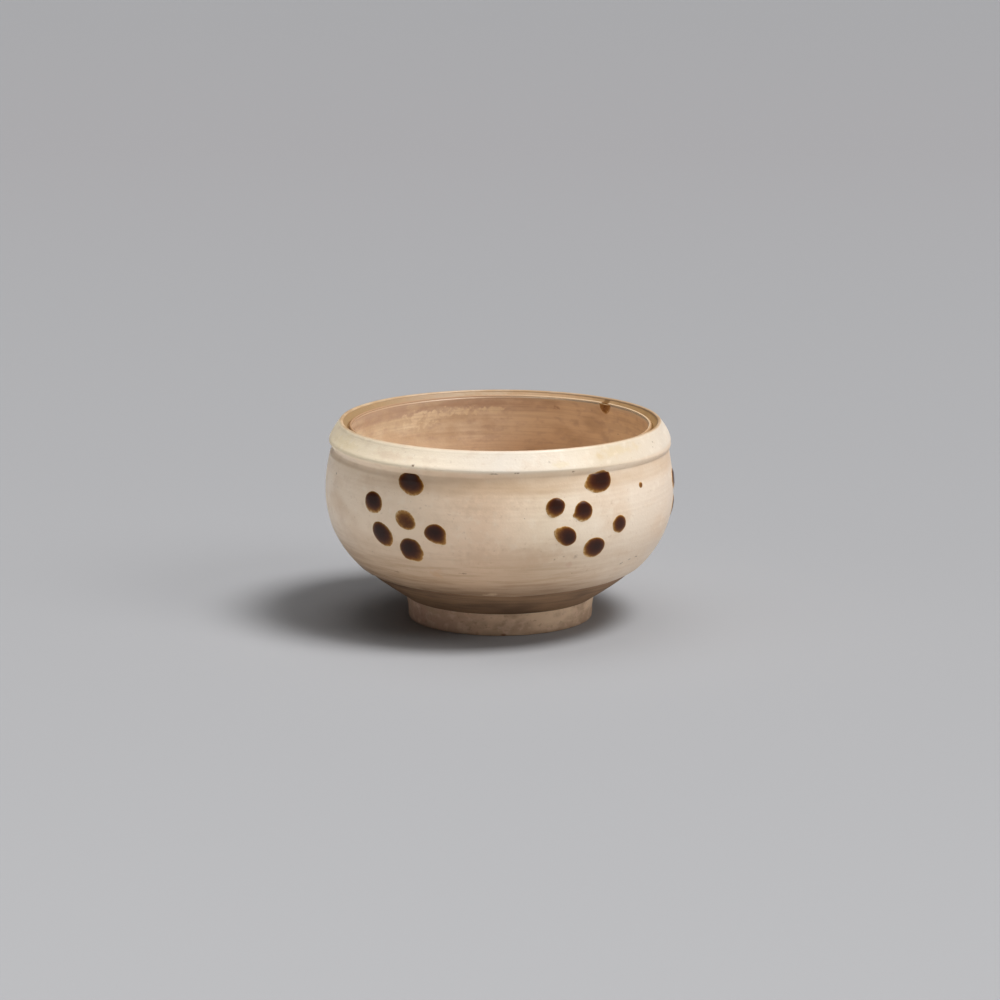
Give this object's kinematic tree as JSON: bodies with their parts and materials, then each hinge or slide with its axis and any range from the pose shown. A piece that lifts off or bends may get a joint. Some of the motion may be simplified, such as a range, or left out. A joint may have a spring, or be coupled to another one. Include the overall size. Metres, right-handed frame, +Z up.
{
  "type": "stoneware bowl",
  "caption": "Small round-bellied stoneware bowl on a low foot ring, white slip outside with brushed iron-brown dots, rolled collar at the rim.",
  "frame": {"origin": "middle of the foot ring's rest face, on the table", "axes": "+Z up along the bowl's axis; -Y is the front, the side midway between the two dot groups that the picture shows; +X to the viewer's right"},
  "size_m": [0.0984, 0.0983, 0.0562],
  "materials": {
    "bare_clay": "unglazed fired clay, turning lines",
    "foot_clay": "unglazed fired clay, rubbed and slightly pinkish",
    "white_slip": "cream-white slip under a thin clear glaze, soft satin, stained and finely speckled",
    "inner_glaze": "thin tan glaze, cloudy, with throwing lines",
    "olive_glaze": "pooled olive-brown glaze, glossy",
    "iron_dots": "iron-brown brushed glaze, glossy, amber at the edges"
  },
  "bodies": {
    "root": {"thrown_wall": "bare_clay", "rim_collar": "bare_clay", "foot_ring": "foot_clay", "white_slip": "white_slip", "inner_glaze": "inner_glaze", "groove_glaze": "olive_glaze", "dot_front_left_top": "iron_dots", "dot_front_left_left": "iron_dots", "dot_front_left_middle": "iron_dots", "dot_front_left_right": "iron_dots", "dot_front_left_lower_left": "iron_dots", "dot_front_left_bottom": "iron_dots", "dot_front_right_top": "iron_dots", "dot_front_right_left": "iron_dots", "dot_front_right_middle": "iron_dots", "dot_front_right_right": "iron_dots", "dot_front_right_lower_left": "iron_dots", "dot_front_right_bottom": "iron_dots", "dot_right_top": "iron_dots", "dot_right_left": "iron_dots", "dot_right_middle": "iron_dots", "dot_right_right": "iron_dots", "dot_right_lower_left": "iron_dots", "dot_right_bottom": "iron_dots", "dot_back_top": "iron_dots", "dot_back_left": "iron_dots", "dot_back_middle": "iron_dots", "dot_back_right": "iron_dots", "dot_back_lower_left": "iron_dots", "dot_back_bottom": "iron_dots", "dot_left_top": "iron_dots", "dot_left_left": "iron_dots", "dot_left_middle": "iron_dots", "dot_left_right": "iron_dots", "dot_left_lower_left": "iron_dots", "dot_left_bottom": "iron_dots", "dot_stray": "iron_dots", "dot_inner_rim": "iron_dots"}
  },
  "joints": []
}
